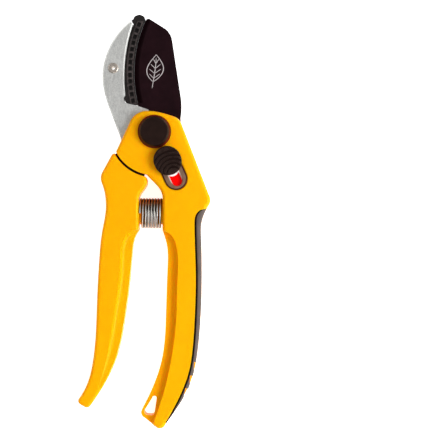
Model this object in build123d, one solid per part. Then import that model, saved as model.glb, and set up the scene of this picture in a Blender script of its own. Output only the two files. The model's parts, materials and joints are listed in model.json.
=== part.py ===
from build123d import *
import math
import os

# Anvil pruning shears lying flat on their back. Millimetres.
# The origin is on the pivot axis, in the plane that the shears rest on.
# +X points right, +Y towards the jaws, +Z up through the front face.

# ---- driving dimensions ----
BODY_T = 16.0              # thickness of both handles, front to back
MID_Z = BODY_T / 2         # the plane that the blade and the anvil share
BLADE_T = 3.0
ARM_T = 8.0                # thickness of the anvil arm
EAR_T = 1.9                # each ear of the arm's fork, one in front of the blade and one behind
BOLT_D = 6.0
BUSH_WALL = 1.5
RUN_GAP = 0.05             # running clearance, on the radius or on a face
SLOT_AIR = 0.3             # clearance between the blade and the handle's nylon
HEAD_R = 21.4              # edge of the right handle's head, struck from the pivot
SHOULDER_R = 22.6          # matching edge of the left handle
DISC_R = 13.5              # round root of the blade
LOCK_DEG = 24.5            # the lock's track leans this far from -Y towards +X
LOCK_TRAVEL = 5.5
SPRING_GAP = 11.8          # closed distance between the two spring seats
COIL_R = 7.0               # spring, mean radius
WIRE_D = 1.1
TURNS = 7
HAND_TIP = (3.3, -146.4)   # lowest corner of the right handle

# ---- heights worked out from them ----
BLADE_Z0 = MID_Z - BLADE_T / 2
BLADE_Z1 = MID_Z + BLADE_T / 2
ARM_Z0 = MID_Z - ARM_T / 2
ARM_Z1 = MID_Z + ARM_T / 2
FORK_Z0 = ARM_Z0 + EAR_T
FORK_Z1 = ARM_Z1 - EAR_T
BUSH_R = BOLT_D / 2 + BUSH_WALL
FLANGE_T = 9.0             # thin inner flange of each handle
FLANGE_Z1 = MID_Z + FLANGE_T / 2
FLANGE_FOOT_R = 2.2
FLANGE_TOP_Y = -48.5
FLANGE_SLOPE = 2.5         # degrees, left handle only
BODY_RIM_R = 1.8           # right handle and its grip
LEFT_RIM_R = 1.6

# ---- front hardware ----
WASHER_Z = BODY_T - 2.5    # floor of the counterbore under the nut
WASHER_T = 0.6
WASHER_R = 6.2
NUT_AF = 10.0
NUT_T = 3.2
CAP_R = 8.2
CAP_H = 3.6
BOLT_HEAD_R = 7.0
BOLT_HEAD_T = 2.0
BOLT_HEAD_Z = 0.0          # flush with the back face

# ---- lock ----
TRACK_W = 11.2
TRACK_T = 1.0
TRACK_PROUD = -0.1         # the plate lies just under the front face
TRACK_AIR = 0.35           # gap round the plate
TRACK_LIP = 0.45           # bevel round the slot's mouth
TRACK_END = 31.0           # lower end of the track plate, from the pivot
TRACK_SLOT_W = 5.0
TRACK_SLOT_END = 29.2
LOCK_ROOM_W = 8.0          # recess under the track plate
LOCK_FLOOR_Z = BODY_T - 2.6
PIN_R = 1.6
PIN_S = 11.3               # the pin's distance from the pivot when locked
PIN_SHORT = 0.35           # the pin stops this far in front of the blade
BUTTON_R = 6.8
BUTTON_S = 15.4
BUTTON_Z = BODY_T + 0.35
BUTTON_T = 3.6
POST_R = 1.9                # post of the slider that the button is pressed on
POST_L = 1.8
GROOVES = 5                # curved grip grooves, struck from a point below the button
GROOVE_S = BUTTON_S + 7.5
GROOVE_R0 = 3.4
GROOVE_PITCH = 2.0
GROOVE_R = 0.6
SLIDER_END = 23.6
TRACK_Z1 = BODY_T + TRACK_PROUD
TRACK_Z0 = TRACK_Z1 - TRACK_T
TRACK_S0 = 8.6             # upper end of the track plate
SLIDER_Z0 = LOCK_FLOOR_Z + 0.7
INDICATOR_S0 = 19.6
NUT_Z = WASHER_Z + WASHER_T
THRUST_R = 8.2

# ---- soft grip ----
GRIP_Z0 = 2.6              # the nylon's back lip runs under the rubber
GRIP_LIP_Z = BODY_T - 1.8
GRIP_LIP_W = 1.0
GRIP_STEP_L = 5.0
GRIP_STEPS = [((20.0, -113.6), -17), ((18.2, -120.2), -21), ((15.9, -126.6), -25)]

# ---- spring seats ----
SPRING_Y = -40.2
SEAT_RIGHT_X = 3.9
SEAT_LEFT_X = SEAT_RIGHT_X - SPRING_GAP
PEG_R = 5.6
PEG_L = 3.2

# ---- anvil ----
PAD_T = 7.0                # thinner than the arm, whose bevel stands clear of it
WEB_T = 3.0
ARM_BEVEL = 0.65
RIVET_AT = (-20.6, 31.7)
RIVET_R = 1.6
RIVET_FLANGE_R = 2.55
RIBS = 13

# The cutting edge is one arc, and the anvil pad's face is the same arc a hair to its left.
EDGE_TOP = (-5.0, 55.0)
EDGE_MID = (-10.35, 30.0)
EDGE_LOW = (-8.3, 13.6)
EDGE_GAP = 0.12
LADDER_T = 7.7             # over the two raised bands of the pad
LADDER_W = 3.5
RAIL_IN = 0.3              # the band starts this far from the pad's face
POCKET_L = 2.2
POCKET_W = 1.9
POCKET_DEEP = 1.2


def polar(radius, degrees):
    """Point at this radius and angle about the pivot."""
    turn = math.radians(degrees)
    return (radius * math.cos(turn), radius * math.sin(turn))


def slab(face, z0, z1):
    """Extrude a flat face between two heights."""
    return Pos(0, 0, z0) * extrude(face, z1 - z0)


def disc(radius, z0, z1, at=(0, 0)):
    return Pos(at[0], at[1], z0) * extrude(Circle(radius), z1 - z0)


def ring(outer, inner, z0, z1, at=(0, 0)):
    return disc(outer, z0, z1, at) - disc(inner, z0 - 1, z1 + 1, at)


def closed(*edges):
    """Flat face inside a loop of edges."""
    return make_face(Wire(list(edges)))


def polygon(*points):
    return make_face(Polyline(*points, close=True))


def rim_edges(solid, z):
    """All the edges that lie in one flat face at height z."""
    return [e for e in solid.edges() if abs(e.bounding_box().min.Z - z) < 1e-4
            and abs(e.bounding_box().max.Z - z) < 1e-4]


def lock_place(s, t=0.0, z=0.0):
    """Place a shape at s along the lock's track, t to its right; its local -Y then runs down the track."""
    lean = math.radians(LOCK_DEG)
    along = (math.sin(lean), -math.cos(lean))
    across = (math.cos(lean), math.sin(lean))
    return Pos(s * along[0] + t * across[0], s * along[1] + t * across[1], z) * Rot(0, 0, LOCK_DEG)


def track_slab(width, s0, s1, z0, z1):
    """Slab with round ends, lying along the lock's track from s0 to s1."""
    length = s1 - s0
    shape = extrude(SlotOverall(length, width, rotation=90), z1 - z0)
    return lock_place((s0 + s1) / 2, 0, z0) * shape


def edge_arc(shift=0.0):
    """The cutting edge's arc, moved to the left by shift."""
    points = [(x - shift, y) for x, y in (EDGE_LOW, EDGE_MID, EDGE_TOP)]
    return ThreePointArc(*points)


# ---- outlines ----
def right_outline():
    """Right handle with its soft grip, seen from the front."""
    crotch = polar(HEAD_R, 259)
    corner = polar(HEAD_R, 207)
    return closed(
        CenterArc((0, 0), HEAD_R, 259, -52),
        Line(corner, (-12.6, 4.0)),
        ThreePointArc((-12.6, 4.0), (-9.4, 8.5), (-3.6, 10.4)),
        Spline((-3.6, 10.4), (0.6, 10.0), (5.4, 8.9), (9.4, 7.6)),
        ThreePointArc((9.4, 7.6), (11.9, 6.1), (13.5, 3.4)),
        Line((13.5, 3.4), (27.1, -31.7)),
        ThreePointArc((27.1, -31.7), (27.5, -34.1), (26.6, -36.4)),
        Spline((26.6, -36.4), (24.4, -40.6), (23.0, -45.5), (22.9, -53), (23.2, -66), (23.0, -84),
               (22.0, -101), (20.5, -113.5), (17.1, -125.8), (11.2, -136.2), (5.4, -144.4)),
        ThreePointArc((5.4, -144.4), HAND_TIP, (1.0, -146.1)),
        Line((1.0, -146.1), (-5.0, -141.4)),
        ThreePointArc((-5.0, -141.4), (-6.6, -139.6), (-6.3, -137.2)),
        Spline((-6.3, -137.2), (-1.3, -127.0), (3.5, -112.5), (5.5, -92), (6.3, -68), (6.1, -56.5),
               (4.8, -51.4), (SEAT_RIGHT_X, -48.8)),
        Line((SEAT_RIGHT_X, -48.8), (SEAT_RIGHT_X, -32.2)),
        Spline((SEAT_RIGHT_X, -32.2), (2.5, -28.3), (-0.9, -24.4), crotch))


def grip_line(shift=0.0):
    """Seam between the nylon and the soft grip, moved to the right by shift."""
    points = [(22.6, -38.6), (20.3, -41.2), (19.7, -46.0), (19.9, -56), (20.35, -72), (19.9, -90),
              (18.9, -106), (16.9, -118.5), (11.9, -131.5), (5.4, -143.4)]
    return Spline(*[(x + shift, y) for x, y in points])


def grip_region(shift=0.0):
    """Everything outside the seam, as a cutter: only its overlap with the handle's outline counts."""
    seam = grip_line(shift)
    return closed(
        seam,
        Line(seam @ 1, (8.0, -150)),
        Line((8.0, -150), (40, -150)),
        Line((40, -150), (40, -37.9)),
        Line((40, -37.9), (25.9 + shift, -37.9)),
        Line((25.9 + shift, -37.9), seam @ 0))


def right_flange_region():
    """Inner strip of the right handle where both faces step down to the thin flange."""
    step = Spline((3.0, -48.4), (8.6, -51.4), (11.2, -58.5), (11.3, -74), (10.8, -92), (9.0, -108),
                  (6.3, -122), (2.6, -135), (0.4, -141.4))
    return closed(step, Line(step @ 1, (-2.0, -150)), Line((-2.0, -150), (-20, -150)),
                  Line((-20, -150), (-20, -48.4)), Line((-20, -48.4), step @ 0))


def left_outline():
    """Left handle, seen from the front."""
    top = polar(SHOULDER_R, 208)
    low = polar(SHOULDER_R, 258)
    return closed(
        CenterArc((0, 0), SHOULDER_R, 258, -50),
        ThreePointArc(top, (-20.7, -11.0), (-21.4, -11.8)),
        Line((-21.4, -11.8), (-26.0, -20.2)),
        ThreePointArc((-26.0, -20.2), (-26.6, -22.8), (-26.1, -25.4)),
        Spline((-26.1, -25.4), (-24.3, -32.5), (-24.2, -39), (-25.9, -49), (-27.3, -62), (-28.4, -82),
               (-29.0, -98), (-30.6, -114), (-33.4, -124.6), (-37.2, -131.4)),
        ThreePointArc((-37.2, -131.4), (-37.7, -133.2), (-36.5, -134.7)),
        Line((-36.5, -134.7), (-34.7, -135.8)),
        ThreePointArc((-34.7, -135.8), (-33.0, -136.1), (-31.5, -135.0)),
        Spline((-31.5, -135.0), (-24.5, -124), (-19.2, -112.2), (-15.2, -94), (-12.5, -74),
               (-11.0, -58), (-9.9, -52.2), (SEAT_LEFT_X, -48.9)),
        Line((SEAT_LEFT_X, -48.9), (SEAT_LEFT_X, -33.5)),
        Spline((SEAT_LEFT_X, -33.5), (-6.3, -29.7), (-4.0, -26.2), low))


def left_flange_region():
    step = Spline((-6.6, -48.6), (-13.2, -50.6), (-15.9, -55.4), (-16.8, -66), (-19.3, -86),
                  (-22.3, -104), (-26.3, -118.5), (-30.5, -128.5), (-34.0, -135.5))
    return closed(step, Line(step @ 1, (10, -135.5)), Line((10, -135.5), (10, -48.6)),
                  Line((10, -48.6), step @ 0))


def arm_outline():
    """Anvil arm, with its fork about the pivot and the tang that runs down inside the right handle."""
    return closed(
        ThreePointArc((-11.0, 52.8), (-11.5, 54.2), (-13.0, 54.4)),
        Spline((-13.0, 54.4), (-19.4, 47.4), (-24.2, 38.2), (-26.0, 26.5), (-23.6, 14.6), (-16.9, -3.2)),
        ThreePointArc((-16.9, -3.2), (-13.6, -9.6), (-6.4, -12.6)),
        Line((-6.4, -12.6), (-1.0, -13.2)),
        Line((-1.0, -13.2), (7.2, -28.0)),
        Line((7.2, -28.0), (9.4, -37.0)),
        Line((9.4, -37.0), (18.0, -37.0)),
        Line((18.0, -37.0), (19.4, -25.0)),
        Line((19.4, -25.0), (11.6, -3.6)),
        ThreePointArc((11.6, -3.6), (8.6, 5.4), (-2.4, 8.4)),
        Line((-2.4, 8.4), (-3.2, 11.1)),
        Spline((-3.2, 11.1), (-7.5, 12.6), (-13.4, 14.1)),
        ThreePointArc((-13.4, 14.1), (-15.3, 15.7), (-14.6, 18.2)),
        Spline((-14.6, 18.2), (-15.1, 29.5), (-13.6, 43.5), (-11.0, 52.8)))


def pad_outline():
    """Anvil pad, between the arm's hollow edge and the cutting edge, with a round nose over the arm's tip."""
    face = edge_arc(EDGE_GAP)
    return closed(
        face,
        ThreePointArc(face @ 1, (-5.0, 56.7), (-6.1, 57.7)),
        ThreePointArc((-6.1, 57.7), (-7.6, 58.2), (-9.1, 57.8)),
        ThreePointArc((-9.1, 57.8), (-10.2, 57.1), (-10.6, 56.0)),
        Line((-10.6, 56.0), (-11.6, 55.3)),
        Line((-11.6, 55.3), (-10.4, 53.6)),
        Spline((-10.4, 53.6), (-13.3, 43.5), (-14.8, 29.5), (-14.3, 18.2)),
        ThreePointArc((-14.3, 18.2), (-15.0, 15.8), (-13.2, 14.3)),
        Line((-13.2, 14.3), face @ 0))


def blade_outline():
    """Blade, its round root and the tang that runs into the left handle."""
    edge = edge_arc()
    fan_low = polar(DISC_R, 257)
    fan_top = polar(DISC_R, 205)
    root_low = polar(DISC_R, 18)
    return closed(
        edge,
        ThreePointArc(edge @ 1, (-4.3, 56.1), (-2.9, 56.5)),
        Line((-2.9, 56.5), (4.6, 51.8)),
        ThreePointArc((4.6, 51.8), (7.2, 49.2), (8.5, 45.6)),
        Line((8.5, 45.6), (12.9, 16.6)),
        ThreePointArc((12.9, 16.6), (13.1, 11.6), (12.7, 7.3)),
        Line((12.7, 7.3), root_low),
        CenterArc((0, 0), DISC_R, 18, -121),
        Line(fan_low, polar(SHOULDER_R, 256)),
        Line(polar(SHOULDER_R, 256), (-8.0, -27.5)),
        Line((-8.0, -27.5), (-12.0, -36.0)),
        Line((-12.0, -36.0), (-13.6, -53.0)),
        Line((-13.6, -53.0), (-19.6, -53.0)),
        Line((-19.6, -53.0), (-20.6, -36.0)),
        Line((-20.6, -36.0), (-22.3, -24.0)),
        Line((-22.3, -24.0), polar(SHOULDER_R, 208.8)),
        Line(polar(SHOULDER_R, 208.8), fan_top),
        CenterArc((0, 0), DISC_R, 205, -66),
        Line(polar(DISC_R, 139), edge @ 0))


def blade_room():
    """Where the arm and the right handle stay open at the blade's height, for its whole swing."""
    reach = 60
    ahead = [polar(reach, a) for a in (-27, 30, 85)]
    behind = [polar(reach, a) for a in (178, 215, 260.5)]
    return (Circle(DISC_R + 0.8)
            + polygon((0, 0), *ahead, (-10.9, reach), (-10.9, 8.0))
            + polygon((0, 0), *behind))


def web_outline():
    """Web of the pad, which sinks into the arm's groove, with a round ear for the rivet."""
    inside = Spline((-13.2, 19.0), (-13.8, 29.5), (-12.4, 42.5), (-10.6, 50.0))
    groove = Spline((-13.6, 50.0), (-16.4, 42.5), (-18.2, 29.5), (-17.0, 19.0))
    strip = closed(inside, Line(inside @ 1, groove @ 0), groove, Line(groove @ 1, inside @ 0))
    return strip + Pos(*RIVET_AT) * Circle(3.2)


def hang_hole():
    """Long drop-shaped hole at the foot of the right handle."""
    return closed(
        Line((-1.3, -131.6), (-4.8, -137.3)),
        ThreePointArc((-4.8, -137.3), (-5.0, -139.1), (-3.3, -140.1)),
        Line((-3.3, -140.1), (-1.9, -140.2)),
        ThreePointArc((-1.9, -140.2), (-0.6, -139.7), (-0.1, -138.6)),
        Line((-0.1, -138.6), (0.9, -132.0)),
        ThreePointArc((0.9, -132.0), (0.1, -130.6), (-1.3, -131.6)))


# ---- holes that key the metal to the nylon moulded round it ----
RIGHT_KEYS = [(13.6, -32.6)]
LEFT_KEYS = [(-15.4, -30.0), (-16.4, -45.0)]
KEY_R = 2.2


def keys(places):
    return Sketch() + [Pos(*at) * Circle(KEY_R) for at in places]


def flange_cutters(region, slope=0):
    """The two cutters that thin a handle to its inner flange; a slope makes them run out towards the tip."""
    depth = (BODY_T - FLANGE_T) / 2 + 2
    cutter = extrude(region, depth)
    cutter = fillet(rim_edges(cutter, 0), FLANGE_FOOT_R)
    front = Pos(0, FLANGE_TOP_Y, FLANGE_Z1) * Rot(-slope, 0, 0) * Pos(0, -FLANGE_TOP_Y, 0) * cutter
    return front + mirror(front, Plane.XY.offset(MID_Z))


def rounded_body(outline, radius, shoulder_r):
    """Handle blank with rounded rims, left sharp along the arc where the two handles meet."""
    body = slab(outline, 0, BODY_T)
    rims = [e for e in rim_edges(body, 0) + rim_edges(body, BODY_T)
            if not (e.geom_type == GeomType.CIRCLE and abs(e.radius - shoulder_r) < 1e-3)]
    return fillet(rims, radius)


def peg(x, direction):
    """Round peg that centres one end of the spring."""
    blank = chamfer(Cylinder(PEG_R, PEG_L).faces().sort_by(Axis.Z)[-1].edges(), 0.8)
    return Pos(x + direction * PEG_L / 2, SPRING_Y, MID_Z) * Rot(0, 90 * direction, 0) * blank


def right_handle():
    body = rounded_body(right_outline(), BODY_RIM_R, HEAD_R)
    body -= slab(grip_region(), GRIP_Z0, BODY_T + 1)
    body -= flange_cutters(right_flange_region())
    body -= slab(hang_hole(), -1, BODY_T + 1)
    body -= slab(blade_room(), BLADE_Z0 - SLOT_AIR, BLADE_Z1 + SLOT_AIR)
    body -= slab(arm_outline() - keys(RIGHT_KEYS), ARM_Z0, ARM_Z1)
    body -= disc(BOLT_D / 2 + RUN_GAP, -1, BODY_T + 1)
    body -= disc(BOLT_HEAD_R + 0.1, -1, BOLT_HEAD_Z + BOLT_HEAD_T)
    body -= disc(WASHER_R + 0.2, WASHER_Z, BODY_T + 1)
    body -= track_seat()
    body -= track_slab(LOCK_ROOM_W, TRACK_S0 + 0.8, TRACK_END - 0.8, LOCK_FLOOR_Z, BODY_T + 1)
    body -= pin_way(ARM_Z1 - 1, BODY_T)
    return body + peg(SEAT_RIGHT_X, -1)


def track_seat():
    """Recess for the track plate, with a little air all round the plate."""
    return track_slab(TRACK_W + 2 * TRACK_AIR, TRACK_S0 - TRACK_AIR, TRACK_END + TRACK_AIR,
                      TRACK_Z0, BODY_T + 1)


def pin_way(z0, z1):
    """Slot that the lock's pin runs in."""
    spare = 0.2
    return track_slab(2 * (PIN_R + spare), PIN_S - PIN_R - spare, PIN_S + LOCK_TRAVEL + PIN_R + spare, z0, z1)


def left_handle():
    body = rounded_body(left_outline(), LEFT_RIM_R, SHOULDER_R)
    body -= flange_cutters(left_flange_region(), FLANGE_SLOPE)
    body -= slab(blade_outline() - keys(LEFT_KEYS), BLADE_Z0, BLADE_Z1)
    return body + peg(SEAT_LEFT_X, 1)


BEAD_END_Y = -138.5        # the full bead ends square here, above the point of the lip
BEAD_SPAN = Pos(0, BEAD_END_Y / 2) * Rectangle(100, -BEAD_END_Y)


def soft_grip():
    """Rubber strip on the outside of the right handle: a low inner lip and a full bead."""
    lip = slab(grip_region(), GRIP_Z0, GRIP_LIP_Z)
    bead = slab(grip_region(GRIP_LIP_W) & BEAD_SPAN, GRIP_Z0, BODY_T + 1)
    strip = rounded_body(right_outline(), BODY_RIM_R, HEAD_R) & (lip + bead)
    for (x, y), lean in GRIP_STEPS:
        bite = polygon((-0.7, 0), (3, 0), (3, -GRIP_STEP_L), (0.6, -GRIP_STEP_L))
        strip -= Pos(x, y, 0) * Rot(0, 0, lean) * extrude(bite, BODY_T)
    return strip


def anvil_arm():
    """Forged arm: the crescent, a two-eared fork about the pivot and the tang in the handle."""
    arm = slab(arm_outline(), ARM_Z0, ARM_Z1)
    long_rims = [e for e in rim_edges(arm, ARM_Z0) + rim_edges(arm, ARM_Z1) if e.length > 30]
    arm = chamfer(long_rims, ARM_BEVEL)
    arm -= slab(blade_room(), FORK_Z0, FORK_Z1)
    arm -= slab(web_outline(), MID_Z - WEB_T / 2, MID_Z + WEB_T / 2)
    arm -= slab(keys(RIGHT_KEYS), 0, BODY_T)
    arm -= disc(RIVET_R, 0, BODY_T, RIVET_AT)
    arm -= disc(BOLT_D / 2 + RUN_GAP, 0, BODY_T)
    return arm - pin_way(FORK_Z1 - 0.5, ARM_Z1 + 0.5)


def ladder_band():
    """Raised band beside the cutting edge, which carries the row of pockets."""
    near = edge_arc(EDGE_GAP + RAIL_IN)
    far = edge_arc(EDGE_GAP + LADDER_W)
    return closed(near, Line(near @ 1, far @ 1), far, Line(far @ 0, near @ 0))


def anvil_pad():
    """Replaceable anvil: a ribbed bar on a web that the rivet holds."""
    outline = pad_outline()
    pad = slab(outline, MID_Z - PAD_T / 2, MID_Z + PAD_T / 2)
    pad += slab(outline & ladder_band(), MID_Z - LADDER_T / 2, MID_Z + LADDER_T / 2)
    pad += slab(web_outline(), MID_Z - WEB_T / 2, MID_Z + WEB_T / 2)
    pad -= disc(RIVET_R, 0, BODY_T, RIVET_AT)
    face = edge_arc(EDGE_GAP)
    for i in range(RIBS):
        along = 0.06 + 0.88 * i / (RIBS - 1)
        foot = face.position_at(along)
        run = face.tangent_at(along)
        lean = math.degrees(math.atan2(run.Y, run.X))
        pocket = Box(POCKET_L, POCKET_W, 2 * POCKET_DEEP)
        for z in (MID_Z - LADDER_T / 2, MID_Z + LADDER_T / 2):
            pad -= Pos(foot.X, foot.Y, z) * Rot(0, 0, lean) * Pos(0, LADDER_W / 2 + RAIL_IN / 2, 0) * pocket
    return pad


def pad_rivet():
    """Hollow rivet with a rolled flange at each end."""
    shank = disc(RIVET_R, ARM_Z0 - 0.1, ARM_Z1 + 0.1, RIVET_AT)
    flange = Cylinder(RIVET_FLANGE_R, 0.55)
    flange = fillet(flange.edges().sort_by(Axis.Z)[-1:], 0.35)
    front = Pos(RIVET_AT[0], RIVET_AT[1], ARM_Z1 + 0.275) * flange
    back = mirror(front, Plane.XY.offset(MID_Z))
    return shank + front + back - disc(RIVET_R - 0.75, 0, BODY_T, RIVET_AT)


def circle_centre(a, b, c):
    """Centre of the circle through three points."""
    d = 2 * (a[0] * (b[1] - c[1]) + b[0] * (c[1] - a[1]) + c[0] * (a[1] - b[1]))
    sa, sb, sc = (p[0] ** 2 + p[1] ** 2 for p in (a, b, c))
    x = (sa * (b[1] - c[1]) + sb * (c[1] - a[1]) + sc * (a[1] - b[1])) / d
    y = (sa * (c[0] - b[0]) + sb * (a[0] - c[0]) + sc * (b[0] - a[0])) / d
    return (x, y)


def edge_bevel():
    """Cutter that hones both sides of the blade to its edge: a wedge turned about the edge's own centre."""
    width, land = 2.6, 0.3
    centre = circle_centre(EDGE_LOW, EDGE_MID, EDGE_TOP)
    radius = math.dist(centre, EDGE_MID)
    wedge = polygon((radius + 1, land / 2), (radius, land / 2), (radius - width, BLADE_T / 2),
                    (radius - width, BLADE_T), (radius + 1, BLADE_T))
    turned = revolve(Plane.XZ * wedge, Axis.Z, 360)
    both = turned + mirror(turned, Plane.XY)
    jaws = Pos(-8, (EDGE_LOW[1] + EDGE_TOP[1]) / 2 + 1, MID_Z) * Box(16, EDGE_TOP[1] - EDGE_LOW[1], BODY_T)
    return Pos(centre[0], centre[1], MID_Z) * both & jaws


def blade():
    plate = slab(blade_outline(), BLADE_Z0, BLADE_Z1)
    plate -= edge_bevel()
    plate -= disc(BUSH_R + RUN_GAP, 0, BODY_T)
    plate -= track_slab(2 * PIN_R + 0.5, PIN_S - PIN_R - 0.3, PIN_S + 12, 0, BODY_T)
    return plate - slab(keys(LEFT_KEYS), 0, BODY_T)


def pivot_bolt():
    head = disc(BOLT_HEAD_R, BOLT_HEAD_Z, BOLT_HEAD_Z + BOLT_HEAD_T)
    head = fillet(rim_edges(head, BOLT_HEAD_Z), 0.9)
    shank = disc(BOLT_D / 2, BOLT_HEAD_Z + BOLT_HEAD_T, NUT_Z + NUT_T + 0.5)
    return chamfer(rim_edges(head + shank, NUT_Z + NUT_T + 0.5), 0.4)


def pivot_nut():
    blank = Pos(0, 0, NUT_Z) * extrude(RegularPolygon(NUT_AF / 2, 6, major_radius=False), NUT_T)
    return blank - disc(BOLT_D / 2, 0, BODY_T * 2)


def pivot_washer():
    return ring(WASHER_R, BOLT_D / 2, WASHER_Z, WASHER_Z + WASHER_T)


def pivot_bush():
    return ring(BUSH_R, BOLT_D / 2, FORK_Z0, FORK_Z1)


def thrust_washer():
    """Plain ring between the blade and the front ear."""
    return ring(THRUST_R, BUSH_R + RUN_GAP, BLADE_Z1 + RUN_GAP, FORK_Z1)


def wave_washer():
    """Springy ring between the blade and the rear ear, which takes up the play."""
    return ring(THRUST_R, BUSH_R + RUN_GAP, FORK_Z0, BLADE_Z0 - RUN_GAP)


def pivot_cap():
    """Moulded cap that hides the nut."""
    base = disc(CAP_R, BODY_T, BODY_T + 1.0)
    crown = extrude(Plane.XY.offset(BODY_T + 1.0) * Circle(CAP_R - 0.3), CAP_H - 1.0, taper=24)
    cap = base + crown
    cap = fillet(rim_edges(cap, BODY_T + CAP_H), 0.6)
    return cap - disc(WASHER_R - 0.1, BODY_T, NUT_Z + NUT_T + 0.7)


def lock_track():
    """Pressed steel track plate with its slot."""
    plate = track_slab(TRACK_W, TRACK_S0, TRACK_END, TRACK_Z0, TRACK_Z1)
    plate = fillet(rim_edges(plate, TRACK_Z1), 0.35)
    slot = track_slab(TRACK_SLOT_W, TRACK_S0 + 2, TRACK_SLOT_END, 0, TRACK_Z1)
    plate -= slot
    mouth = plate.faces().sort_by(Axis.Z)[-1].inner_wires()[0].edges()
    return chamfer(mouth, TRACK_LIP)


def lock_indicator():
    """Red strip on the floor of the lock's recess, seen through the slot while the lock is on."""
    room = track_slab(LOCK_ROOM_W - 0.2, TRACK_S0 + 1, TRACK_END - 1, LOCK_FLOOR_Z, LOCK_FLOOR_Z + 0.6)
    keep = lock_place(INDICATOR_S0 + 10) * Pos(0, 0, MID_Z) * Box(20, 20, 2 * BODY_T)
    return room & keep


def lock_slider():
    """Slider under the track plate, with the neck that rides in its slot and the locking pin."""
    flange = track_slab(TRACK_SLOT_W + 2.2, TRACK_S0 + 1, SLIDER_END + 0.3, SLIDER_Z0, TRACK_Z0 - 0.1)
    neck = track_slab(TRACK_SLOT_W - 0.2, TRACK_S0 + 3.2, SLIDER_END, TRACK_Z0 - 0.1, BUTTON_Z)
    post = lock_place(BUTTON_S) * disc(POST_R, BUTTON_Z, BUTTON_Z + POST_L)
    pin = lock_place(PIN_S) * disc(PIN_R, BLADE_Z1 + PIN_SHORT, SLIDER_Z0)
    return flange + neck + post + pin


def lock_button():
    """Thumb button with curved grip ridges."""
    blank = track_slab(2 * BUTTON_R, BUTTON_S - BUTTON_R, BUTTON_S + BUTTON_R + 0.8, BUTTON_Z,
                       BUTTON_Z + BUTTON_T)
    blank = fillet(rim_edges(blank, BUTTON_Z + BUTTON_T), 1.1)
    blank -= lock_place(BUTTON_S) * disc(POST_R, BUTTON_Z, BUTTON_Z + POST_L)
    for k in range(GROOVES):
        groove = Torus(GROOVE_R0 + GROOVE_PITCH * k, GROOVE_R)
        blank -= lock_place(GROOVE_S, 0, BUTTON_Z + BUTTON_T) * groove
    return blank


def lock_spring():
    """Small bowed leaf under the slider, which holds it at either end of its travel."""
    low, high, t = LOCK_FLOOR_Z, SLIDER_Z0 - 0.1, 0.2
    s0, s1 = PIN_S + 1.6, PIN_S + 7.6
    bow = closed(
        ThreePointArc((-s0, low), (-(s0 + s1) / 2, high - t), (-s1, low)),
        Line((-s1, low), (-s1, low + t)),
        ThreePointArc((-s1, low + t), (-(s0 + s1) / 2, high), (-s0, low + t)),
        Line((-s0, low + t), (-s0, low)))
    leaf = extrude(Plane.YZ * bow, 1.2)
    return lock_place(0, 2.3) * leaf


def return_spring():
    """Compression coil between the two seats."""
    pitch = (SPRING_GAP - WIRE_D - 0.1) / TURNS
    path = Helix(pitch, pitch * TURNS, COIL_R)
    wire = sweep(Plane(path @ 0, z_dir=path % 0) * Circle(WIRE_D / 2), path=path, is_frenet=True)
    start = SEAT_LEFT_X + WIRE_D / 2 + 0.05
    return Pos(start, SPRING_Y, MID_Z) * Rot(0, 90, 0) * wire


PARTS = {
    "right_handle": right_handle,
    "soft_grip": soft_grip,
    "left_handle": left_handle,
    "anvil_arm": anvil_arm,
    "anvil_pad": anvil_pad,
    "pad_rivet": pad_rivet,
    "blade": blade,
    "pivot_bolt": pivot_bolt,
    "pivot_nut": pivot_nut,
    "pivot_washer": pivot_washer,
    "pivot_bush": pivot_bush,
    "thrust_washer": thrust_washer,
    "wave_washer": wave_washer,
    "pivot_cap": pivot_cap,
    "lock_track": lock_track,
    "lock_indicator": lock_indicator,
    "lock_slider": lock_slider,
    "lock_button": lock_button,
    "lock_spring": lock_spring,
    "return_spring": return_spring,
}

os.makedirs("parts", exist_ok=True)
for name, make in PARTS.items():
    export_step(make(), f"parts/{name}.step")
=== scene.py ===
"""Anvil pruning shears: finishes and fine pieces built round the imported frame. Metres."""

import json
import math

import bmesh
import bpy
from mathutils import Matrix, Vector


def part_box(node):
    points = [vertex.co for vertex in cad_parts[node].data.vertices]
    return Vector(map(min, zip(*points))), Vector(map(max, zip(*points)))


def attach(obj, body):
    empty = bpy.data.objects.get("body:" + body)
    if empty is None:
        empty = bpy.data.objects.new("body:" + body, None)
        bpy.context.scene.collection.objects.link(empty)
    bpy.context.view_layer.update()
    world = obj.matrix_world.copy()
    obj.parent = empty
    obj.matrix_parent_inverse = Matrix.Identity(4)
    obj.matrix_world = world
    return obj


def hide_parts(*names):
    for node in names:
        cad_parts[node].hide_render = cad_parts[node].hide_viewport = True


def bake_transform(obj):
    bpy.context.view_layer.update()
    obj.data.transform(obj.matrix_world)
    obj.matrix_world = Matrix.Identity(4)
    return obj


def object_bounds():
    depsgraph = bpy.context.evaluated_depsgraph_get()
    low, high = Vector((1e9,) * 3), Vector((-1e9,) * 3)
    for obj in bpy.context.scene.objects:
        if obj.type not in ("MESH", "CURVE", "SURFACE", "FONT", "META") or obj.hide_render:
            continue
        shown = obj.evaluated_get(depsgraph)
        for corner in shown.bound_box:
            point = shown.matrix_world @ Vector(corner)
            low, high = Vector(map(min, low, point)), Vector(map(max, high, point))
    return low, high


bl_info = {
    "name": "Anvil Pruning Shears",
    "version": (1, 0, 0),
    "blender": (4, 5, 0),
    "location": "3D View > Sidebar > Shears",
    "description": "Builds and finishes a pair of anvil pruning shears, piece by piece",
    "category": "Object",
}

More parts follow.
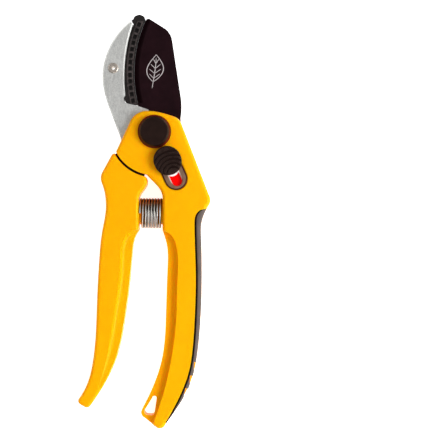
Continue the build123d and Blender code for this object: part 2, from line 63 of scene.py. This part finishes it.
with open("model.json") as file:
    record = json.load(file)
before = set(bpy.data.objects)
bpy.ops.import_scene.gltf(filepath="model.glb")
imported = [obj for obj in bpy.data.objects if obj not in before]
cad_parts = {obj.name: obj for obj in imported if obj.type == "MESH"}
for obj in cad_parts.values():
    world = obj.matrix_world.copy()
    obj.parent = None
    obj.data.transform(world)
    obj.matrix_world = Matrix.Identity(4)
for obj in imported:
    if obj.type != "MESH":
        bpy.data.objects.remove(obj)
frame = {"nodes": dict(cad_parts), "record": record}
NODES = frame["nodes"]
CAD_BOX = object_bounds()
MM = 0.001
FRONT_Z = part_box("right_handle")[1].z
BLADE_FRONT_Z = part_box("blade")[1].z
MOUTH_R = 2.5 * MM          # half the width of the slot in the lock's track
STEPS_PER_TURN = 40         # of the return coil

# ---- studio: places run from the middle of the shears ----
FLOOR_HALF = 1.5
FLOOR_DROP = 0.02 * MM      # the floor lies this far under the shears
LAMPS = (("right_box", (0.60, -0.10, 0.50), 0.45, 6.3),     # name, place, side, watts
         ("left_box", (-0.50, 0.30, 0.60), 0.4, 1.4),
         ("foot_box", (0.1, -0.65, 0.45), 0.4, 1.2))
SENSOR = 36.0
CAMERA_WIDTH = 217.9 * MM   # what the camera sees, side to side
CAMERA_AWAY = 0.75
CAMERA_LIFT = 12 * MM
CAMERA_ASIDE = (37.4 * MM, 0.6 * MM)


# ---------------------------------------------------------------- settings

class ShearsSizes(bpy.types.PropertyGroup):
    wire: bpy.props.FloatProperty(
        name="Spring Wire", description="Diameter of the return coil's wire",
        default=1.22 * MM, min=0.8 * MM, max=1.6 * MM, unit="LENGTH")
    turns: bpy.props.FloatProperty(
        name="Spring Turns", description="Turns of the return coil", default=7.4, min=4, max=9)
    line: bpy.props.FloatProperty(
        name="Leaf Line", description="Width of the printed leaf's lines",
        default=0.42 * MM, min=0.2 * MM, max=0.8 * MM, unit="LENGTH")


class ShearsColours(bpy.types.PropertyGroup):
    handle: bpy.props.FloatVectorProperty(
        name="Handle Nylon", description="Colour of the two moulded handles",
        default=(0.95, 0.418, 0.001), subtype="COLOR", min=0, max=1)
    grip: bpy.props.FloatVectorProperty(
        name="Soft Grip", description="Colour of the rubber strip",
        default=(0.094, 0.071, 0.061), subtype="COLOR", min=0, max=1)
    coating: bpy.props.FloatVectorProperty(
        name="Blade Coating", description="Colour of the non-stick coating",
        default=(0.0075, 0.0022, 0.0032), subtype="COLOR", min=0, max=1)
    steel: bpy.props.FloatVectorProperty(
        name="Arm Steel", description="Colour of the satin anvil arm",
        default=(0.76, 0.76, 0.73), subtype="COLOR", min=0, max=1)
    floor: bpy.props.FloatVectorProperty(
        name="Floor", description="Colour of the floor", default=(0.85, 0.85, 0.85),
        subtype="COLOR", min=0, max=1)


def sizes():
    return bpy.context.scene.shears_sizes


def colours():
    return bpy.context.scene.shears_colours


# ---------------------------------------------------------------- finishes

class Finish:
    """One node material, built a node at a time round its shader."""

    def __init__(self, name, colour, metallic=0.0, roughness=0.5, specular=0.5):
        self.material = bpy.data.materials.new(name)
        self.material.use_nodes = True
        self.tree = self.material.node_tree
        self.shader = self.tree.nodes["Principled BSDF"]
        coordinates = self.tree.nodes.new("ShaderNodeTexCoord").outputs
        self.place = coordinates["Object"]
        self.facing = coordinates["Normal"]
        self.set("Base Color", (*colour, 1))
        self.set("Metallic", metallic)
        self.set("Roughness", roughness)
        self.set("Specular IOR Level", specular)

    def set(self, socket, value):
        self.shader.inputs[socket].default_value = value

    def node(self, kind, inputs=(), **settings):
        made = self.tree.nodes.new("ShaderNode" + kind)
        for key, value in settings.items():
            setattr(made, key, value)
        for socket, value in dict(inputs).items():
            self.feed(made.inputs[socket], value)
        return made

    def feed(self, socket, value):
        if isinstance(value, bpy.types.NodeSocket):
            self.tree.links.new(value, socket)
        else:
            socket.default_value = value

    def stretched(self, stretch):
        """Object coordinates scaled by a factor along each axis, for a grain with a direction."""
        return self.node("Mapping", {"Vector": self.place, "Scale": stretch}).outputs["Vector"]

    def noise(self, scale, detail=3.0, rough=0.5, vector=None):
        made = self.node("TexNoise", {"Vector": vector or self.place, "Scale": scale, "Detail": detail,
                                      "Roughness": rough})
        return made.outputs["Fac"]

    def span(self, value, low, high, out_low, out_high):
        """Value rescaled from low..high to out_low..out_high, clamped."""
        return self.node("MapRange", {"Value": value, "From Min": low, "From Max": high, "To Min": out_low,
                                      "To Max": out_high}).outputs["Result"]

    def part(self, vector, axis):
        """One component of a vector."""
        return self.node("SeparateXYZ", {"Vector": vector}).outputs[axis]

    def maths(self, operation, a, b=0.0):
        made = self.node("Math", operation=operation)
        self.feed(made.inputs[0], a)
        self.feed(made.inputs[1], b)
        return made.outputs[0]

    def blend(self, factor, a, b):
        """Colour between a and b, by factor."""
        made = self.node("Mix", data_type="RGBA")
        self.feed(made.inputs["Factor"], factor)
        self.feed(made.inputs["A"], (*a, 1) if isinstance(a, tuple) else a)
        self.feed(made.inputs["B"], (*b, 1) if isinstance(b, tuple) else b)
        return made.outputs["Result"]

    def painted(self):
        """What feeds the base colour so far, to paint over."""
        return self.shader.inputs["Base Color"].links[0].from_socket

    def colour(self, output):
        self.tree.links.new(output, self.shader.inputs["Base Color"])

    def roughness(self, output):
        self.tree.links.new(output, self.shader.inputs["Roughness"])

    def relief(self, height, distance, strength=1.0):
        made = self.node("Bump", {"Height": height, "Distance": distance, "Strength": strength})
        previous = self.shader.inputs["Normal"].links
        if previous:
            self.tree.links.new(previous[0].from_socket, made.inputs["Normal"])
        self.tree.links.new(made.outputs["Normal"], self.shader.inputs["Normal"])


def tinted(colour, factor):
    return tuple(min(1.0, c * factor) for c in colour)


def handle_nylon():
    """Glossy glass-filled nylon: faint flow marks and a fine spark-eroded mould texture.

    A slight orange glow stands in for the light that such a strong pigment gives back in its shadows.
    """
    base = tuple(colours().handle)
    finish = Finish("handle_nylon", base, roughness=0.38, specular=0.26)
    finish.set("Specular Tint", (1.0, 0.66, 0.16, 1))
    finish.set("Emission Color", (1.0, 0.26, 0.0, 1))
    finish.set("Emission Strength", 0.06)
    flow = finish.noise(45, 4, 0.55, finish.stretched((1, 0.25, 1)))
    finish.colour(finish.blend(finish.span(flow, 0.3, 0.7, 0, 1), tinted(base, 0.955), tinted(base, 1.03)))
    finish.roughness(finish.span(finish.noise(900, 2), 0.3, 0.7, 0.31, 0.43))
    finish.set("Subsurface Weight", 0.6)
    finish.set("Subsurface Radius", (1.0, 0.25, 0.01))
    finish.set("Subsurface Scale", 4 * MM)
    finish.relief(finish.noise(5200, 2, 0.5), 0.012 * MM, 0.55)
    above_middle = finish.maths("SUBTRACT", finish.part(finish.place, "Z"), FRONT_Z / 2)
    off_middle = finish.maths("ABSOLUTE", above_middle)
    finish.relief(finish.span(off_middle, 0.05 * MM, 0.16 * MM, 1, 0), 0.06 * MM, 0.6)
    return finish


def soft_rubber():
    base = tuple(colours().grip)
    finish = Finish("soft_rubber", base, roughness=0.72, specular=0.35)
    cloud = finish.noise(120, 3)
    worn = finish.blend(finish.span(cloud, 0.3, 0.7, 0, 1), tinted(base, 0.86), tinted(base, 1.16))
    # Painted shade: upward-facing faces more than 1.2 mm below the front face, beside the nylon, are painted
    # near black for the shadow there.
    up = finish.part(finish.facing, "Z")
    low = finish.span(finish.part(finish.place, "Z"), FRONT_Z - 1.4 * MM, FRONT_Z - 1.2 * MM, 1, 0)
    groove_shade = finish.maths("MULTIPLY", finish.span(up, 0.9, 0.95, 0, 1), low)
    finish.colour(finish.blend(groove_shade, worn, tinted(base, 0.06)))
    finish.roughness(finish.span(finish.noise(1500, 2), 0.3, 0.7, 0.62, 0.82))
    finish.relief(finish.noise(4200, 3, 0.6), 0.03 * MM, 0.7)
    return finish


def satin_steel():
    """Blasted, then belt-finished along its length, with a few dull marks from use."""
    base = tuple(colours().steel)
    finish = Finish("satin_steel", base, metallic=1.0, roughness=0.42)
    belt = finish.noise(2600, 4, 0.65, finish.stretched((1, 0.12, 1)))
    grain = finish.noise(1700, 5, 0.7)
    cloud = finish.noise(70, 3, 0.5)
    shade = finish.maths("ADD", finish.maths("MULTIPLY", grain, 0.45), finish.maths("MULTIPLY", belt, 0.35))
    shade = finish.maths("ADD", shade, finish.maths("MULTIPLY", cloud, 0.2))
    finish.colour(finish.blend(finish.span(shade, 0.38, 0.62, 0, 1), tinted(base, 0.74), tinted(base, 1.16)))
    finish.roughness(finish.span(grain, 0.3, 0.7, 0.36, 0.54))
    finish.relief(grain, 0.018 * MM, 0.6)
    finish.relief(belt, 0.006 * MM, 0.5)
    return finish


def blade_coating():
    base = tuple(colours().coating)
    finish = Finish("blade_coating", base, roughness=0.34, specular=0.14)
    finish.set("Specular Tint", (1.0, 0.6, 0.7, 1))
    finish.colour(finish.blend(finish.span(finish.noise(160, 4), 0.3, 0.7, 0, 1), tinted(base, 0.7),
                               tinted(base, 1.5)))
    finish.roughness(finish.span(finish.noise(600, 4, 0.6), 0.3, 0.7, 0.28, 0.42))
    finish.relief(finish.noise(6500, 2), 0.006 * MM, 0.6)
    return finish


def black_nylon(name):
    base = (0.0085, 0.0040, 0.0032)
    finish = Finish(name, base, roughness=0.44, specular=0.17)
    finish.set("Specular Tint", (1.0, 0.66, 0.56, 1))
    finish.colour(finish.blend(finish.span(finish.noise(300, 3), 0.3, 0.7, 0, 1), tinted(base, 0.75),
                               tinted(base, 1.4)))
    finish.roughness(finish.span(finish.noise(1100, 3), 0.3, 0.7, 0.38, 0.54))
    finish.relief(finish.noise(5200, 2), 0.015 * MM, 0.6)
    return finish


def cap_nylon():
    """Black nylon with a painted red-brown reflection of the yellow handle round its thin base ring."""
    finish = black_nylon("cap_nylon")
    # Painted reflection: the cap is painted red-brown up to 1.5 mm above the handle's front face, fading out
    # by 2.4 mm, for the yellow handle mirrored there.
    low = finish.span(finish.part(finish.place, "Z"), FRONT_Z + 1.5 * MM, FRONT_Z + 2.4 * MM, 1, 0)
    finish.colour(finish.blend(low, finish.painted(), (0.11, 0.010, 0.002)))
    return finish


def button_nylon():
    """Black nylon: the tops of the ridges carry a painted highlight, broken up by scuffs from wear, and the
    curved grooves stay dark.
    """
    finish = black_nylon("button_nylon")
    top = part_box("lock_button")[1].z
    # Painted highlight: the tops of the ridges are painted paler, broken up by the scuff noise for wear.
    ridge_sheen = finish.span(finish.part(finish.place, "Z"), top - 0.45 * MM, top - 0.1 * MM, 0, 1)
    scuffs = finish.span(finish.noise(600, 4, 0.6), 0.4, 0.62, 0.2, 1)
    worn = finish.maths("MULTIPLY", ridge_sheen, scuffs)
    finish.colour(finish.blend(worn, finish.painted(), (0.022, 0.013, 0.011)))
    return finish


def anvil_nylon():
    """Black nylon, scuffed pale where the raised band takes the wear."""
    base = (0.0085, 0.0058, 0.0052)
    finish = Finish("anvil_nylon", base, roughness=0.55, specular=0.25)
    middle = (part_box("anvil_pad")[0].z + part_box("anvil_pad")[1].z) / 2
    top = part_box("anvil_pad")[1].z - middle
    height = finish.maths("ABSOLUTE", finish.maths("SUBTRACT", finish.part(finish.place, "Z"), middle))
    raised = finish.span(height, top - 0.25 * MM, top - 0.05 * MM, 0, 1)
    scuffs = finish.span(finish.noise(700, 4, 0.65), 0.38, 0.62, 0.15, 1)
    finish.colour(finish.blend(finish.maths("MULTIPLY", raised, scuffs), base, (0.06, 0.046, 0.044)))
    finish.roughness(finish.span(finish.noise(1500, 3), 0.3, 0.7, 0.45, 0.7))
    finish.relief(finish.noise(3500, 3, 0.6), 0.03 * MM, 0.7)
    return finish


def plated_steel(name, base, roughness):
    finish = Finish(name, base, metallic=1.0, roughness=roughness)
    finish.colour(finish.blend(finish.span(finish.noise(350, 4), 0.3, 0.7, 0, 1), tinted(base, 0.82),
                               tinted(base, 1.1)))
    finish.roughness(finish.span(finish.noise(1800, 3), 0.3, 0.7, roughness - 0.07, roughness + 0.1))
    finish.relief(finish.noise(5200, 3), 0.005 * MM, 0.5)
    return finish


def track_shape():
    """Lean, end radius and straight run (from the pivot) of the track: a leaning slab with round ends."""
    slide = next(j for j in frame["record"]["behaviour"]["joints"] if j["name"] == "lock_slide")
    lean = math.atan2(slide["axis"][0], -slide["axis"][1])
    lo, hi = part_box("lock_track")
    size, centre = hi - lo, (lo + hi) / 2
    run = (size.y - size.x) / (math.cos(lean) - math.sin(lean))
    radius = (size.x - run * math.sin(lean)) / 2
    middle = centre.x * math.sin(lean) - centre.y * math.cos(lean)
    return lean, radius, middle - run / 2, middle + run / 2


def track_plate():
    """Pressed steel, with a painted shadow round its outer edge and a painted highlight round the mouth of
    its slot.
    """
    lean, radius, top, low = track_shape()
    finish = plated_steel("track_steel", (0.42, 0.25, 0.17), 0.36)
    turned = finish.node("Mapping", {"Vector": finish.place, "Rotation": (0, 0, -lean)}).outputs["Vector"]
    across = finish.part(turned, "X")
    down = finish.maths("MULTIPLY", finish.part(turned, "Y"), -1.0)
    straight = finish.maths("MINIMUM", finish.maths("MAXIMUM", down, top), low)
    beyond = finish.maths("SUBTRACT", down, straight)
    out = finish.maths("SQRT", finish.maths("ADD", finish.maths("MULTIPLY", across, across),
                                            finish.maths("MULTIPLY", beyond, beyond)))
    # Painted highlight: a pale band is painted round the mouth of the slot.
    mouth_highlight = finish.span(out, MOUTH_R + 0.35 * MM, MOUTH_R + 0.75 * MM, 1, 0)
    # Painted shadow: the outer edge of the plate is painted near black for the shade of the recess it sits
    # in.
    edge_shadow = finish.span(out, radius - 0.85 * MM, radius - 0.35 * MM, 0, 1)
    with_mouth_highlight = finish.blend(mouth_highlight, finish.painted(), (0.86, 0.80, 0.72))
    finish.colour(finish.blend(edge_shadow, with_mouth_highlight, (0.035, 0.014, 0.008)))
    return finish


def drawn_wire():
    """Spring wire, drawn smooth, bright on the crown of each turn, with painted shade on its flanks so that
    the turns read as bright bands parted by dark gaps.

    A painted reflection of the yellow handles tints the turns nearest the jaws orange-brown.
    """
    base = (0.74, 0.71, 0.65)
    finish = Finish("drawn_wire", base, metallic=1.0, roughness=0.4)
    clean = finish.blend(finish.span(finish.noise(240, 3), 0.3, 0.7, 0, 1), tinted(base, 0.88),
                         tinted(base, 1.06))
    # Painted shade: the flanks of each turn, where the normal leans along x, are painted near black.
    flank_shade = finish.maths("ABSOLUTE", finish.part(finish.facing, "X"))
    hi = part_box("return_spring")[1]
    # Painted reflection: the turns nearest the jaws are tinted orange-brown for the yellow handles mirrored
    # in them.
    near_jaws_reflection = finish.span(finish.part(finish.place, "Y"), hi.y - 4.5 * MM, hi.y - 1.5 * MM, 0, 0.85)
    with_reflection = finish.blend(near_jaws_reflection, clean, (0.42, 0.15, 0.035))
    finish.colour(finish.blend(finish.span(flank_shade, 0.15, 0.5, 0, 1), with_reflection, (0.025, 0.018, 0.012)))
    finish.roughness(finish.span(finish.noise(500, 2), 0.3, 0.7, 0.36, 0.48))
    finish.relief(finish.noise(900, 2), 0.001 * MM, 0.3)
    return finish


def gloss_plastic(name, base, glow=0.0, specular=0.2):
    """Smooth plastic; glow is painted light, an emission that lifts the colour where the part lies in shade.
    """
    finish = Finish(name, base, roughness=0.34, specular=specular)
    finish.set("Emission Color", (*base, 1))
    finish.set("Emission Strength", glow)
    finish.colour(finish.blend(finish.span(finish.noise(500, 2), 0.3, 0.7, 0, 1), tinted(base, 0.9),
                               tinted(base, 1.05)))
    finish.roughness(finish.span(finish.noise(1500, 2), 0.3, 0.7, 0.24, 0.36))
    finish.relief(finish.noise(4200, 2), 0.008 * MM, 0.5)
    return finish


def printed_ink():
    base = (0.52, 0.47, 0.47)
    finish = Finish("printed_ink", base, roughness=0.55, specular=0.3)
    finish.colour(finish.blend(finish.span(finish.noise(2600, 3), 0.3, 0.7, 0, 1), tinted(base, 0.75),
                               tinted(base, 1.1)))
    finish.relief(finish.noise(6000, 2), 0.004 * MM, 0.5)
    return finish


def dress(node, finish):
    """Give a node of the frame its finish."""
    slots = NODES[node].data.materials
    slots.clear()
    slots.append(finish.material)


# ---------------------------------------------------------------- making pieces

def piece_from(bm, name, material, smooth=True):
    mesh = bpy.data.meshes.new(name)
    bm.to_mesh(mesh)
    bm.free()
    for face in mesh.polygons:
        face.use_smooth = smooth
    mesh.materials.append(material)
    piece = bpy.data.objects.new(name, mesh)
    bpy.context.scene.collection.objects.link(piece)
    return piece


def ribbon(bm, path, width, segments):
    """Thin flat ribbon along path(t), t from 0 to 1, proud of the blade's front and fine at both ends."""
    made = bmesh.ops.create_grid(bm, x_segments=segments, y_segments=1, size=0.5)
    for vert in made["verts"]:
        t = vert.co.x + 0.5
        here, ahead, behind = path(t), path(min(1, t + 0.01)), path(max(0, t - 0.01))
        across = Vector((behind.y - ahead.y, ahead.x - behind.x, 0)).normalized()
        taper = 0.45 + 0.55 * math.sin(math.pi * t) ** 0.5
        vert.co = here + across * vert.co.y * width * taper
    grown = bmesh.ops.extrude_face_region(bm, geom=list({f for v in made["verts"] for f in v.link_faces}))
    lifted = [item for item in grown["geom"] if isinstance(item, bmesh.types.BMVert)]
    bmesh.ops.translate(bm, verts=lifted, vec=(0, 0, LEAF_PROUD))


LEAF_ROOT = Vector((-0.9 * MM, 25.2 * MM, BLADE_FRONT_Z))
LEAF_L = 13.4 * MM
LEAF_HALF_W = 4.1 * MM
LEAF_BEND = 1.5 * MM
LEAF_PROUD = 0.05 * MM
LEAF_VEINS = (0.12, 0.3, 0.48, 0.66)
VEIN_CLIMB = 0.17
VEIN_REACH = 0.72


def leaf_half_width(t):
    return LEAF_HALF_W * math.sin(math.pi * max(0.0, t) ** 0.85)


def leaf_point(t, across):
    """Point on the leaf: t along its bent midrib, across to one side of it."""
    bend = LEAF_BEND * math.sin(math.pi / 2 * t)
    return LEAF_ROOT + Vector((bend + across, t * LEAF_L, 0))


def vein_point(root, side, t):
    """Point on a side vein, which starts at root on the midrib and climbs as it goes out."""
    reach = VEIN_REACH * t * leaf_half_width(root + VEIN_CLIMB)
    return leaf_point(root + VEIN_CLIMB * t, side * reach)


# ---------------------------------------------------------------- operators

class SHEARS_OT_handles(bpy.types.Operator):
    """Finish both moulded handles"""
    bl_idname = "shears.handles"
    bl_label = "Handles"

    def execute(self, context):
        nylon = handle_nylon()
        for node in ("right_handle", "left_handle"):
            dress(node, nylon)
        return {"FINISHED"}


class SHEARS_OT_soft_grip(bpy.types.Operator):
    """Finish the rubber strip on the right handle"""
    bl_idname = "shears.soft_grip"
    bl_label = "Soft Grip"

    def execute(self, context):
        dress("soft_grip", soft_rubber())
        return {"FINISHED"}


class SHEARS_OT_anvil(bpy.types.Operator):
    """Finish the anvil arm, its pad and the rivet"""
    bl_idname = "shears.anvil"
    bl_label = "Anvil"

    def execute(self, context):
        dress("anvil_arm", satin_steel())
        dress("anvil_pad", anvil_nylon())
        dress("pad_rivet", plated_steel("rivet_steel", (0.68, 0.60, 0.52), 0.3))
        return {"FINISHED"}


class SHEARS_OT_blade(bpy.types.Operator):
    """Finish the coated blade"""
    bl_idname = "shears.blade"
    bl_label = "Blade"

    def execute(self, context):
        dress("blade", blade_coating())
        return {"FINISHED"}


class SHEARS_OT_leaf(bpy.types.Operator):
    """Print a plain leaf on the blade's front face"""
    bl_idname = "shears.leaf"
    bl_label = "Leaf Mark"

    def execute(self, context):
        width = sizes().line
        bm = bmesh.new()
        for side in (-1, 1):
            ribbon(bm, lambda t, s=side: leaf_point(t, s * leaf_half_width(t)), width, 28)
            for root in LEAF_VEINS:
                ribbon(bm, lambda t, s=side, r=root: vein_point(r, s, t), 0.75 * width, 6)
        ribbon(bm, lambda t: leaf_point(-0.24 + 1.12 * t, 0), width, 16)
        bmesh.ops.recalc_face_normals(bm, faces=bm.faces)
        mark = piece_from(bm, "leaf_mark", printed_ink().material, smooth=False)
        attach(mark, "blade_side")
        return {"FINISHED"}


class SHEARS_OT_pivot(bpy.types.Operator):
    """Finish the pivot: bolt, nut, washers, bush and cap"""
    bl_idname = "shears.pivot"
    bl_label = "Pivot"

    def execute(self, context):
        zinc = plated_steel("zinc_plate", (0.62, 0.63, 0.64), 0.32)
        for node in ("pivot_bolt", "pivot_nut", "pivot_washer", "thrust_washer"):
            dress(node, zinc)
        dress("pivot_bush", plated_steel("bearing_bronze", (0.55, 0.34, 0.14), 0.35))
        dress("pivot_cap", cap_nylon())
        return {"FINISHED"}


class SHEARS_OT_lock(bpy.types.Operator):
    """Finish the thumb lock: track, indicator, slider and button"""
    bl_idname = "shears.lock"
    bl_label = "Thumb Lock"

    def execute(self, context):
        dress("lock_track", track_plate())
        # Painted light: the red indicator glows so that it stays bright down in its recess.
        dress("lock_indicator", gloss_plastic("signal_red", (0.9, 0.001, 0.0005), glow=0.22, specular=0.05))
        # Painted reflection: the zinc slider is given a plain glossy white in place of the bright reflection
        # off its metal.
        dress("lock_slider", gloss_plastic("slider_white_reflection", (0.93, 0.92, 0.90)))
        dress("lock_button", button_nylon())
        return {"FINISHED"}


class SHEARS_OT_springs(bpy.types.Operator):
    """Finish the springs and wind the return coil"""
    bl_idname = "shears.springs"
    bl_label = "Springs"

    def execute(self, context):
        steel = drawn_wire()
        for node in ("return_spring", "lock_spring", "wave_washer"):
            dress(node, steel)
        lo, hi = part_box("return_spring")
        wire, turns = sizes().wire, sizes().turns
        centre = (lo + hi) / 2
        radius = (hi.y - lo.y - wire) / 2
        start = Vector((lo.x + wire / 2, centre.y, centre.z + radius))
        steps = round(turns * STEPS_PER_TURN)
        upright = Matrix.Rotation(math.pi / 2, 4, "X")
        bm = bmesh.new()
        section = bmesh.ops.create_circle(bm, segments=16, radius=wire / 2,
                                          matrix=Matrix.Translation(start) @ upright)
        bmesh.ops.spin(bm, geom=section["verts"] + bm.edges[:], cent=centre, axis=(1, 0, 0),
                       dvec=((hi.x - lo.x - wire) / steps, 0, 0), angle=-2 * math.pi * turns, steps=steps)
        bmesh.ops.holes_fill(bm, edges=[edge for edge in bm.edges if edge.is_boundary])
        bmesh.ops.recalc_face_normals(bm, faces=bm.faces)
        coil = piece_from(bm, "return_coil", steel.material)
        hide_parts("return_spring")
        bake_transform(coil)
        return {"FINISHED"}


class SHEARS_OT_studio(bpy.types.Operator):
    """Set up the floor, the lights and the camera"""
    bl_idname = "shears.studio"
    bl_label = "Studio"

    def soft_room(self):
        """Plain room, bright on the right and dim on the left."""
        world = bpy.data.worlds.new("studio")
        world.use_nodes = True
        nodes, links = world.node_tree.nodes, world.node_tree.links
        way = nodes.new("ShaderNodeSeparateXYZ")
        links.new(nodes.new("ShaderNodeTexCoord").outputs["Generated"], way.inputs["Vector"])
        light = nodes.new("ShaderNodeMapRange")
        light.interpolation_type = "SMOOTHSTEP"
        links.new(way.outputs["X"], light.inputs["Value"])
        for socket, value in (("From Min", -0.9), ("From Max", 0.9), ("To Min", 0.08), ("To Max", 0.7)):
            light.inputs[socket].default_value = value
        background = nodes["Background"]
        background.inputs["Color"].default_value = (0.98, 0.985, 1.0, 1)
        links.new(light.outputs["Result"], background.inputs["Strength"])
        return world

    def lay_floor(self, middle):
        """Pale paper under the shears, bright enough to read as a plain white ground."""
        bm = bmesh.new()
        bmesh.ops.create_grid(bm, x_segments=1, y_segments=1, size=FLOOR_HALF)
        bmesh.ops.translate(bm, verts=bm.verts, vec=(middle.x, middle.y, CAD_BOX[0].z - FLOOR_DROP))
        paper = Finish("paper_floor", tuple(colours().floor), roughness=0.9, specular=0.1)
        paper.set("Emission Color", (1, 1, 1, 1))
        paper.set("Emission Strength", 0.85)
        paper.relief(paper.noise(400, 3), 0.02 * MM, 0.3)
        piece_from(bm, "floor", paper.material, smooth=False)

    def lamp(self, aim, name, place, side, power):
        """Square lamp that looks at the shears."""
        light = bpy.data.lights.new(name, "AREA")
        light.size = side
        light.energy = power
        lamp = bpy.data.objects.new(name, light)
        lamp.location = Vector(place) + aim
        lamp.rotation_euler = (aim - lamp.location).to_track_quat("-Z", "Y").to_euler()
        return lamp

    def camera(self, middle):
        """Long lens that looks straight down."""
        lens = bpy.data.cameras.new("camera")
        lens.sensor_width = SENSOR
        lens.lens = SENSOR * CAMERA_AWAY / CAMERA_WIDTH
        camera = bpy.data.objects.new("camera", lens)
        camera.location = (middle.x + CAMERA_ASIDE[0], middle.y + CAMERA_ASIDE[1], CAMERA_AWAY + CAMERA_LIFT)
        return camera

    def execute(self, context):
        scene = context.scene
        middle = (CAD_BOX[0] + CAD_BOX[1]) / 2
        self.lay_floor(middle)
        scene.world = self.soft_room()
        for lamp in LAMPS:
            scene.collection.objects.link(self.lamp(Vector((middle.x, middle.y, 0)), *lamp))
        scene.camera = self.camera(middle)
        scene.collection.objects.link(scene.camera)
        scene.view_settings.view_transform = "Standard"
        return {"FINISHED"}


STEPS = (SHEARS_OT_handles, SHEARS_OT_soft_grip, SHEARS_OT_anvil, SHEARS_OT_blade, SHEARS_OT_leaf,
         SHEARS_OT_pivot, SHEARS_OT_lock, SHEARS_OT_springs, SHEARS_OT_studio)


class SHEARS_PT_panel(bpy.types.Panel):
    """Sidebar panel that lists every step of the build"""
    bl_idname = "SHEARS_PT_panel"
    bl_label = "Pruning Shears"
    bl_space_type = "VIEW_3D"
    bl_region_type = "UI"
    bl_category = "Shears"

    def draw(self, context):
        for group in (context.scene.shears_sizes, context.scene.shears_colours):
            for key in group.__annotations__:
                self.layout.prop(group, key)
        for step in STEPS:
            self.layout.operator(step.bl_idname)


CLASSES = (ShearsSizes, ShearsColours, *STEPS, SHEARS_PT_panel)


def register():
    for cls in CLASSES:
        bpy.utils.register_class(cls)
    bpy.types.Scene.shears_sizes = bpy.props.PointerProperty(type=ShearsSizes)
    bpy.types.Scene.shears_colours = bpy.props.PointerProperty(type=ShearsColours)


def unregister():
    del bpy.types.Scene.shears_sizes
    del bpy.types.Scene.shears_colours
    for cls in reversed(CLASSES):
        bpy.utils.unregister_class(cls)


def main():
    register()
    for step in STEPS:
        group, name = step.bl_idname.split(".")
        getattr(getattr(bpy.ops, group), name)()


if __name__ == "__main__":
    main()
